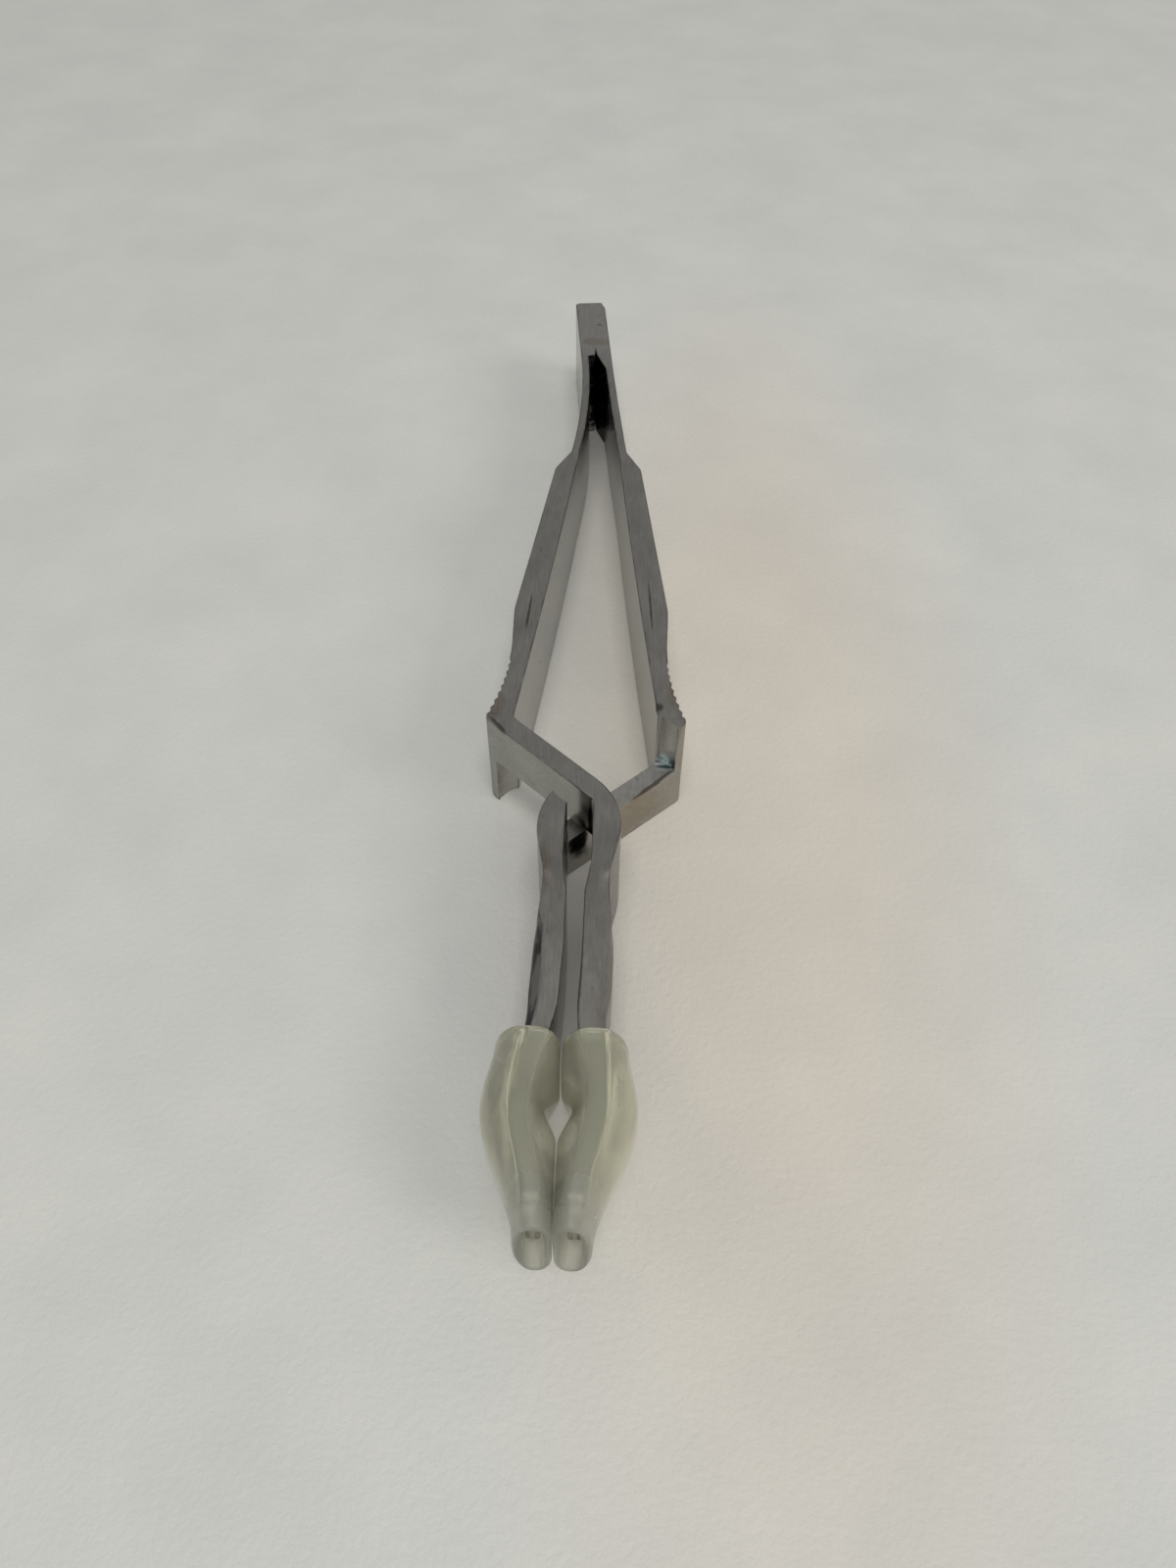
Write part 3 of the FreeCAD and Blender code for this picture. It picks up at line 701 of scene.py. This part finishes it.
def remap(tree, value, low, high, new_low=0.0, new_high=1.0):
    """Output of a Map Range node, held between its ends."""
    node = add_node(tree, "ShaderNodeMapRange",
                    {"Value": value, "From Min": low, "From Max": high,
                     "To Min": new_low, "To Max": new_high})
    return node.outputs[0]


def blend_colours(tree, share, first, second, **settings):
    """Output of a Mix node between two colours."""
    node = add_node(tree, "ShaderNodeMix", {0: share, 6: first, 7: second}, data_type="RGBA",
                    **settings)
    return node.outputs[2]


def multiply_colours(tree, first, second):
    """Output of a Mix node that multiplies two colours."""
    return blend_colours(tree, 1.0, first, second, blend_type="MULTIPLY")


def tint(tree, colour, mask, strength, over):
    """The colour with another one laid over it: the mask times the strength is its share."""
    return blend_colours(tree, calculate(tree, "MULTIPLY", mask, strength), colour, over)


def shade(tree, colour, mask, factor):
    """The colour, multiplied by a factor where the mask is 1."""
    return multiply_colours(tree, colour, blend_colours(tree, mask, (1, 1, 1, 1), factor))


def add_bump(tree, shader, height, strength, depth):
    """Bump node from a pattern of heights, with its depth in millimetres."""
    bump = add_node(tree, "ShaderNodeBump", {"Height": height, "Strength": strength,
                                             "Distance": depth * MM})
    tree.links.new(bump.outputs[0], shader.inputs["Normal"])


def in_millimetres(tree):
    """Object coordinates in millimetres."""
    place = add_node(tree, "ShaderNodeTexCoord").outputs["Object"]
    node = add_node(tree, "ShaderNodeVectorMath", {0: place, "Scale": 1 / MM}, operation="SCALE")
    return node.outputs[0]


def start_group(name, inputs, outputs):
    """Empty node group with named sockets and its inner input and output nodes."""
    group = bpy.data.node_groups.new(name, "ShaderNodeTree")
    for socket, kind in inputs:
        group.interface.new_socket(name=socket, in_out="INPUT", socket_type=kind)
    for socket, kind in outputs:
        group.interface.new_socket(name=socket, in_out="OUTPUT", socket_type=kind)
    return (group, group.nodes.new("NodeGroupInput").outputs,
            group.nodes.new("NodeGroupOutput").inputs)


# %% Cloudy mottling and stretched grain
number_socket, vector_socket = "NodeSocketFloat", "NodeSocketVector"
mottle_group, given, result = start_group(
    "mottle", [("Vector", vector_socket), ("Stretch", vector_socket), ("Low", number_socket),
               ("High", number_socket)], [("Amount", number_socket)])
stretched = calculate_vector(mottle_group, "MULTIPLY", given["Vector"], given["Stretch"])
clouds = add_node(mottle_group, "ShaderNodeTexNoise",
                  {"Vector": stretched, "Scale": 1.0, "Detail": 3.0, "Roughness": 0.6})
mottle_group.links.new(remap(mottle_group, clouds.outputs[0], given["Low"], given["High"]),
                       result["Amount"])


def mottle(tree, vector, stretch, low, high):
    """Cloudy amount from 0 to 1: noise with so many clouds in a millimetre along each axis."""
    inputs = {"Vector": vector, "Stretch": stretch, "Low": low, "High": high}
    return add_node(tree, "ShaderNodeGroup", inputs, node_tree=mottle_group).outputs["Amount"]


# %% Soft marks
mark_waviness, mark_full, mark_clear = 0.7, 0.95, 1.35
mark_group, given, result = start_group(
    "soft_mark", [("Vector", vector_socket), ("Centre", vector_socket), ("Turn", number_socket),
                  ("Half Size", vector_socket)], [("Amount", number_socket)])
wavy = add_node(mark_group, "ShaderNodeTexNoise",
                {"Vector": given["Vector"], "Scale": 2.5, "Detail": 2.0})
from_centre = calculate_vector(mark_group, "SUBTRACT", given["Vector"], given["Centre"])
turned = add_node(mark_group, "ShaderNodeVectorRotate",
                  {"Vector": from_centre, "Angle": given["Turn"]}, rotation_type="Z_AXIS")
scaled = calculate_vector(mark_group, "DIVIDE", turned.outputs[0], given["Half Size"])
distance = calculate_vector(mark_group, "LENGTH", scaled)
ragged = calculate(mark_group, "MULTIPLY_ADD", wavy.outputs[0], mark_waviness, distance)
mark_group.links.new(remap(mark_group, ragged, mark_full, mark_clear, 1.0, 0.0),
                     result["Amount"])


def marks(tree, vector, places):
    """Strongest of several marks: centre in the drawing, turn in degrees and half size."""
    strongest = None
    for centre, turn, half_size in places:
        inputs = {"Vector": vector, "Centre": np.array(centre) + [0, shift_y, half_height],
                  "Turn": math.radians(turn), "Half Size": half_size}
        amount = add_node(tree, "ShaderNodeGroup", inputs, node_tree=mark_group).outputs["Amount"]
        strongest = calculate(tree, "MAXIMUM", amount, strongest) if strongest else amount
    return strongest


print("shared effects:", mottle_group.name, "and", mark_group.name)

# %% [markdown]
# ## Ground steel
# The strips were cut from a bar and then ground. The narrow top and bottom edges keep a fine
# lengthwise grain and are darker, partly from that finish and partly as painted reflection of a
# dim ceiling. The broad side faces were polished and mirror the pale bench, and their colour is
# raised as painted light. It is one metal, so one material serves, and the direction that the
# surface faces, in the piece's own axes, says which finish it has. Masks along the strip tell the
# tail, the grips, the jaw arms and the sleeved jaws apart.

# %% Steel and its masks
steel, tree, shader = new_material("ground_spring_steel")
shader.inputs["Metallic"].default_value = 1.0
shader.inputs["Specular Tint"].default_value = (0.65, 0.65, 0.65, 1)
place = in_millimetres(tree)
facing = add_node(tree, "ShaderNodeSeparateXYZ",
                  {0: add_node(tree, "ShaderNodeTexCoord").outputs["Normal"]})
upright = calculate(tree, "ABSOLUTE", facing.outputs["Z"])
is_top = remap(tree, upright, 0.55, 0.9)
is_side = calculate(tree, "SUBTRACT", 1.0, is_top)
separate = add_node(tree, "ShaderNodeSeparateXYZ", {0: place})
along = separate.outputs["Y"]
is_low = remap(tree, separate.outputs["Z"], half_height + 1.0, half_height)
is_tail = remap(tree, along, shift_y + crotch_y - 2.0, shift_y + crotch_y + 1.0)
is_grip = remap(tree, along, knee_inner_y + shift_y - 0.3, knee_inner_y + shift_y + 0.7)
is_jaw = remap(tree, along, shift_y - 1.8, shift_y - 5.0)
is_sleeved = remap(tree, along, shift_y + sleeve_rim_y + 0.3, shift_y + sleeve_rim_y - 0.1)
from_middle = calculate(tree, "SUBTRACT", separate.outputs["X"], -jaw_set / 2)
facing_out = calculate(tree, "MULTIPLY", from_middle, facing.outputs["X"])
outward = remap(tree, facing_out, -0.3, 0.3)

# %% Colours of the steel's faces, with painted light and shade
grain = mottle(tree, place, (11.0, 0.9, 11.0), 0.3, 0.7)
clouds = mottle(tree, place, (0.9, 0.45, 0.9), 0.3, 0.7)
# Painted reflection: the tops are darker partly for their ground finish and partly to stand in
# for the dim ceiling they mirror; the side colours are raised as painted light.
top_colour = blend_colours(tree, clouds, (0.235, 0.222, 0.2, 1), (0.28, 0.267, 0.242, 1))
jaw_side_colour = blend_colours(tree, clouds, (0.42, 0.41, 0.38, 1), (0.5, 0.49, 0.455, 1))
grip_side_colour = blend_colours(tree, clouds, (0.77, 0.765, 0.74, 1), (0.85, 0.845, 0.82, 1))
# Painted light and shade on the jaw arms: faces turned to the gap are pale, outward faces are
# dark for the shaded floor they mirror.
arm_lit_and_shaded_colour = blend_colours(tree, outward, (0.85, 0.85, 0.82, 1), (0.27, 0.26, 0.245, 1))
side_colour = blend_colours(tree, is_grip, jaw_side_colour, grip_side_colour)
side_colour = blend_colours(tree, is_jaw, side_colour, arm_lit_and_shaded_colour)
# Painted light: side faces under a sleeve are pale and yellowish, standing in for the glow of the
# milky silicone round them.
side_colour = blend_colours(tree, is_sleeved, side_colour, (0.62, 0.62, 0.56, 1))
top_colour = blend_colours(tree, is_tail, top_colour, (0.32, 0.31, 0.288, 1))
# Painted light: tops that lie low, as the pocket floors do, are lifted to make up for the shade
# there.
top_colour = blend_colours(tree, is_low, top_colour, (0.38, 0.37, 0.345, 1))
top_colour = shade(tree, top_colour, is_jaw, (0.88, 0.88, 0.87, 1))
top_colour = blend_colours(tree, is_sleeved, top_colour, (0.08, 0.085, 0.08, 1))
colour = blend_colours(tree, is_top, side_colour, top_colour)
grain_colour = blend_colours(tree, grain, (0.84, 0.84, 0.84, 1), (1.04, 1.04, 1.04, 1))
colour = multiply_colours(tree, colour, grain_colour)

# %% [markdown]
# The broken edges are painted darker than the faces, as painted shade along each edge, and
# handling has polished them here and there. The mesh carries them as an attribute, so these
# lines are as fine as the edges themselves.

# %% Broken edges and specks
edge_shade_grey, worn_steel = (0.09, 0.085, 0.08, 1), (0.5, 0.49, 0.46, 1)
speck_brown = (0.1, 0.085, 0.07, 1)
edge = add_node(tree, "ShaderNodeAttribute", attribute_name="edge").outputs["Fac"]
worn = calculate(tree, "MULTIPLY", edge, mottle(tree, place, (1.2, 0.7, 1.2), 0.4, 0.65))
specks = mottle(tree, place, (5.0, 3.2, 5.0), 0.6, 0.74)
# Painted shade: the edge mask lays a dark line along each broken edge.
for mask, strength, over in ((edge, 0.65, edge_shade_grey), (worn, 0.35, worn_steel),
                             (specks, 0.3, speck_brown)):
    colour = tint(tree, colour, mask, strength, over)

# %% [markdown]
# Painted shade darkens the side faces deep in the crotch of the tail and where the straps
# cross, and grime has gathered in the pockets and at the knees. Each mark is an ellipsoid with
# a ragged edge. The painted shade shows only on side faces that don't face outwards, and stains
# wherever their marks reach. A warm tarnish lies on the tail, the knees, the right strap and
# the left jaw arm.

# %% Painted shade, stains and tarnish
shade_black, stain_brown = (0.014, 0.013, 0.012, 1), (0.035, 0.028, 0.022, 1)
tarnish_factor = (0.87, 0.82, 0.75, 1)
recess_shade = marks(tree, place, [((-0.1, 36.0, 0.0), 0, (1.3, 4.0, 6.0)),
                           ((-0.12, -0.9, -0.4), 0, (0.6, 0.9, 1.7)),
                           ((-0.62, -2.5, 0.3), 0, (0.22, 1.5, 2.4)),
                           ((0.42, -1.5, 1.2), 0, (0.2, 1.6, 1.9))])
# Painted shade: the marks above darken inward-facing side faces in the crotch and where the
# straps cross.
sheltered_side = calculate(tree, "MULTIPLY", is_side, remap(tree, facing_out, 0.35, 0.6, 1.0, 0.0))
colour = tint(tree, colour, recess_shade, sheltered_side, shade_black)
stains = marks(tree, place, [((-3.25, 11.3, 2.85), 3, (0.08, 1.6, 0.3)),
                             ((3.1, 12.0, 2.85), -3, (0.07, 2.3, 0.3)),
                             ((3.5, 4.75, 2.8), 20, (0.32, 0.36, 0.4)),
                             ((-4.2, 3.3, 2.8), -41, (0.13, 0.9, 0.3)),
                             ((3.4, 2.45, -0.2), 44, (0.12, 1.9, 0.25)),
                             ((-2.81, 10.66, 0.0), 0, (0.26, 0.13, 0.12)),
                             ((-0.4, 40.7, 2.85), 0, (0.22, 0.1, 0.2)),
                             ((0.27, -9.6, 2.4), 1, (0.13, 2.9, 0.7))])
colour = tint(tree, colour, stains, 0.75, stain_brown)
tarnish = marks(tree, place, [((-0.6, 38.5, 2.85), 0, (1.1, 0.55, 0.4)),
                              ((-4.4, 4.5, 2.85), 10, (0.5, 1.1, 0.5)),
                              ((4.3, 5.5, 2.85), -10, (0.45, 1.1, 0.5)),
                              ((2.7, 1.3, -1.4), 0, (2.6, 2.2, 1.6)),
                              ((-1.6, -5.2, 2.8), 0, (0.4, 1.8, 0.5))])
colour = shade(tree, colour, tarnish, tarnish_factor)
print("steel with its marks:", len(tree.nodes), "nodes")

# %% [markdown]
# The big bevel on the left jaw arm was ground last. Its flat carries painted shade, black round
# its border and dark grey in its middle, so a black ellipse and a smaller grey one are laid on
# it.

# %% Ground flat on the left jaw arm
bevel_shade_black, bevel_shade_grey = (0.01, 0.01, 0.01, 1), (0.17, 0.165, 0.155, 1)
on_bevel = calculate(tree, "MULTIPLY", remap(tree, upright, 0.88, 0.95, 1.0, 0.0),
                     remap(tree, upright, 0.15, 0.35))
# Painted shade on the ground flat: a black ellipse, then a smaller grey one.
for mark, over in ((((-1.5, -10.4, 2.0), 0, (1.0, 3.6, 2.6)), bevel_shade_black),
                   (((-1.54, -10.25, 1.95), 3, (0.25, 1.6, 1.5)), bevel_shade_grey)):
    colour = tint(tree, colour, marks(tree, place, [mark]), on_bevel, over)

# %% [markdown]
# The floor of the right pocket carries bluish and whitish streaks along the cutter's path, as a
# painted reflection. The top edges are rougher than the polished sides, and the grain is raised
# a little too.

# %% Painted reflection streaks, roughness and grain
# Painted reflection: bluish and whitish streaks on the floor of the right pocket.
reflection_streaks = mottle(tree, place, (0.9, 4.5, 4.5), 0.42, 0.58)
reflection_colour = blend_colours(tree, reflection_streaks, (0.05, 0.085, 0.1, 1), (0.62, 0.7, 0.7, 1))
pocket_reflection = marks(tree, place, [((4.0, 3.85, -0.2), 44, (0.65, 0.6, 0.3))])
colour = tint(tree, colour, pocket_reflection, 0.85, reflection_colour)
tree.links.new(colour, shader.inputs["Base Color"])
top_roughness = remap(tree, clouds, 0, 1, 0.3, 0.4)
side_roughness = remap(tree, clouds, 0, 1, 0.14, 0.24)
roughness = add_node(tree, "ShaderNodeMix", {0: is_top, 2: side_roughness, 3: top_roughness})
tree.links.new(calculate(tree, "MULTIPLY_ADD", stains, 0.2, roughness.outputs[0]),
               shader.inputs["Roughness"])
add_bump(tree, shader, grain, strength=0.35, depth=0.004)
for strip in strips.values():
    strip.data.materials.append(steel)
print("whole steel:", len(tree.nodes), "nodes")

# %% [markdown]
# ## Translucent silicone
# Moulded silicone is clear enough to show the steel jaw inside as a crisp grey band, but it
# is slightly milky and yellow. A glass-like shader with a pale tint, a little roughness and
# some plain colour under it gives that. Its Alpha drops for shadow and diffuse rays alone,
# so that light reaches the bench through it, as it does through the real sleeve. The cut
# front ends are frosted, and handling has left faint smears on the soft surface. The mesh
# carries the share of the bore as an attribute, because the bore is a little rougher than
# the outside, and rougher still at its mouth, which is painted darker as painted shade.

# %% Silicone
silicone, tree, shader = new_material("translucent_silicone")
shader.inputs["IOR"].default_value = 1.41
shader.inputs["Transmission Weight"].default_value = 0.87
place = in_millimetres(tree)
along = add_node(tree, "ShaderNodeSeparateXYZ", {0: place}).outputs["Y"]
front_y = sleeve_end_y + shift_y
frosted = remap(tree, along, front_y + 2.6, front_y + 0.2)
clouds = mottle(tree, place, (0.8, 0.6, 0.8), 0.3, 0.7)
smears = mottle(tree, place, (3.5, 1.3, 3.5), 0.45, 0.75)
colour = blend_colours(tree, clouds, (0.71, 0.7, 0.555, 1), (0.77, 0.76, 0.61, 1))
colour = blend_colours(tree, frosted, colour, (0.69, 0.69, 0.61, 1))
bore = add_node(tree, "ShaderNodeAttribute", attribute_name="bore").outputs["Fac"]
mouth = calculate(tree, "MULTIPLY", bore, frosted)
# Painted shade: the bore's mouth is darkened.
colour = blend_colours(tree, mouth, colour, (0.5, 0.5, 0.44, 1))
tree.links.new(colour, shader.inputs["Base Color"])
roughness = calculate(tree, "MULTIPLY_ADD", smears, 0.06, 0.08)
for mask, rise in ((bore, 0.08), (mouth, 0.2), (frosted, 0.27)):
    roughness = calculate(tree, "MULTIPLY_ADD", mask, rise, roughness)
tree.links.new(roughness, shader.inputs["Roughness"])
add_bump(tree, shader, clouds, strength=0.3, depth=0.05)
ray = add_node(tree, "ShaderNodeLightPath").outputs
scattered = calculate(tree, "MAXIMUM", ray["Is Shadow Ray"], ray["Is Diffuse Ray"])
let_through = 0.88
tree.links.new(calculate(tree, "MULTIPLY_ADD", scattered, -let_through, 1.0),
               shader.inputs["Alpha"])
for sleeve in sleeves.values():
    sleeve.data.materials.append(silicone)
print("silicone:", len(tree.nodes), "nodes")

# %% [markdown]
# ## Bench, lights and camera
# The forceps lies on a pale, slightly grainy bench, with a warmer, darker patch of painted
# shade on its right. A soft room lights it from all round, a wide lamp overhead reaches down
# between the arms, and a weak warm lamp at the right front throws a faint shadow to the left.
# The camera stands close above the jaws' end, which is why the jaws look larger than the tail.

# %% Bench
bench_half_size = 0.6
mesh = bpy.data.meshes.new("bench")
corners = np.array([[-1, -1, 0], [1, -1, 0], [1, 1, 0], [-1, 1, 0]]) * bench_half_size
mesh.from_pydata(corners, [], [(0, 1, 2, 3)])
bench = add_object("bench", mesh)
print("bench is", 2 * bench_half_size, "m wide")

# %% Finish of the bench
bench_finish, tree, shader = new_material("pale_bench")
warm_shade_centre, warm_shade_half_size = (9.0, -6.0, 0.0), (9.0, 34.0, 1.0)
place = in_millimetres(tree)
from_centre = calculate_vector(tree, "SUBTRACT", place, warm_shade_centre)
scaled = calculate_vector(tree, "DIVIDE", from_centre, warm_shade_half_size)
warm_shade = remap(tree, calculate_vector(tree, "LENGTH", scaled), 1.6, 0.5)
patches = mottle(tree, place, (0.11, 0.11, 0.11), 0.3, 0.7)
grains = mottle(tree, place, (3.0, 3.0, 3.0), 0.2, 0.8)
# Painted shade: a warmer, darker patch on the bench to the right of the forceps.
colour = blend_colours(tree, warm_shade, (0.52, 0.52, 0.49, 1), (0.53, 0.49, 0.43, 1))
paler = blend_colours(tree, patches, (0.95, 0.95, 0.95, 1), (1.04, 1.035, 1.02, 1))
tree.links.new(multiply_colours(tree, colour, paler), shader.inputs["Base Color"])
tree.links.new(remap(tree, grains, 0, 1, 0.5, 0.68), shader.inputs["Roughness"])
add_bump(tree, shader, grains, strength=0.5, depth=0.06)
bench.data.materials.append(bench_finish)
print("bench finish:", len(tree.nodes), "nodes")

# %% Lights
world = bpy.data.worlds.new("soft_room")
world.use_nodes = True
background = world.node_tree.nodes["Background"].inputs
background["Color"].default_value = (0.98, 0.99, 1, 1)
background["Strength"].default_value = 0.5
bpy.context.scene.world = world


def soft_lamp(name, place, size, watts, colour):
    """Square area lamp that faces the origin."""
    lamp = bpy.data.lights.new(name, "AREA")
    lamp.size = size
    lamp.energy = watts
    lamp.color = colour
    holder = add_object(name, lamp)
    away = np.array(place) / np.linalg.norm(place)
    side = np.cross([0, 1, 0], away)
    side = side / np.linalg.norm(side)
    turned = Matrix([side, np.cross(away, side), away]).transposed()
    holder.matrix_world = Matrix.Translation(place) @ turned.to_4x4()
    print(name, "stands", round(float(np.linalg.norm(place)), 3), "m away")


soft_lamp("overhead_lamp", place=(0.01, -0.15, 0.5), size=0.22, watts=1.25, colour=(1, 1, 0.99))
soft_lamp("side_lamp", place=(0.32, -0.14, 0.26), size=0.16, watts=0.42, colour=(1, 0.96, 0.92))

# %% Camera
camera_place = np.array([1.289, -35.194 + shift_y, 44.272 + half_height]) * MM
camera_pitch = math.radians(49.83)
camera_yaw = math.radians(1.707)
camera_roll = math.radians(0.393)
camera_data = bpy.data.cameras.new("camera")
camera_data.sensor_fit = "VERTICAL"
camera_data.sensor_height = 36
camera_data.sensor_width = 27
camera_data.lens = 27.148
camera_data.clip_start = 0.001
camera = add_object("camera", camera_data)
turn = (Matrix.Rotation(camera_yaw, 4, "Z") @ Matrix.Rotation(math.pi / 2 - camera_pitch, 4, "X")
        @ Matrix.Rotation(camera_roll, 4, "Z"))
camera.matrix_world = Matrix.Translation(camera_place) @ turn
bpy.context.scene.camera = camera
print("camera stands at", np.round(camera_place, 4), "m")

# %% View and finish
bpy.context.scene.view_settings.view_transform = "Standard"
